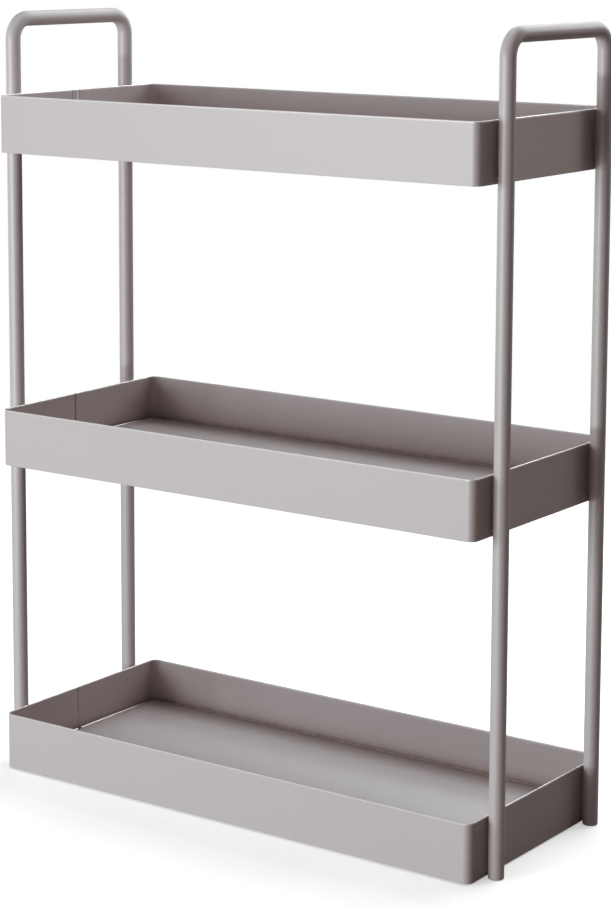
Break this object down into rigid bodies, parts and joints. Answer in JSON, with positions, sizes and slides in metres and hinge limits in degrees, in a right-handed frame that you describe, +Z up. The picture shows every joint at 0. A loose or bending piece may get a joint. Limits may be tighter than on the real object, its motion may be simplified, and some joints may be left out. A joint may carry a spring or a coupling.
{
  "type": "three-tier shelf",
  "caption": "Tiered open shelf: shallow rectangular sheet metal trays carried between bent tube end frames whose tops form handles; stands on plugged legs and holds household goods.",
  "frame": {"origin": "on the floor, under the middle of the shelf", "axes": "+X along the trays to the right end, +Y from front to back, +Z up"},
  "size_m": [0.634, 0.26, 0.83],
  "materials": {
    "frame_coat": "satin warm grey powder coat on steel tube",
    "tray_coat": "satin warm grey powder coat on steel sheet",
    "floor_coat": "satin warm grey powder coat on steel sheet",
    "plug_nylon": "matt moulded nylon in the colour of the frame",
    "zinc_steel": "bright zinc plate"
  },
  "bodies": {
    "root": {"tray_band_lower": "tray_coat", "seam_weld_lower": "tray_coat", "tray_floor_lower": "floor_coat", "tray_screws_lower": "zinc_steel", "tray_band_middle": "tray_coat", "seam_weld_middle": "tray_coat", "tray_floor_middle": "floor_coat", "tray_screws_middle": "zinc_steel", "tray_band_upper": "tray_coat", "seam_weld_upper": "tray_coat", "tray_floor_upper": "floor_coat", "tray_screws_upper": "zinc_steel", "end_frame_left": "frame_coat", "threaded_inserts_left": "zinc_steel", "foot_plug_front_left": "plug_nylon", "foot_plug_rear_left": "plug_nylon", "end_frame_right": "frame_coat", "threaded_inserts_right": "zinc_steel", "foot_plug_front_right": "plug_nylon", "foot_plug_rear_right": "plug_nylon"}
  },
  "joints": []
}
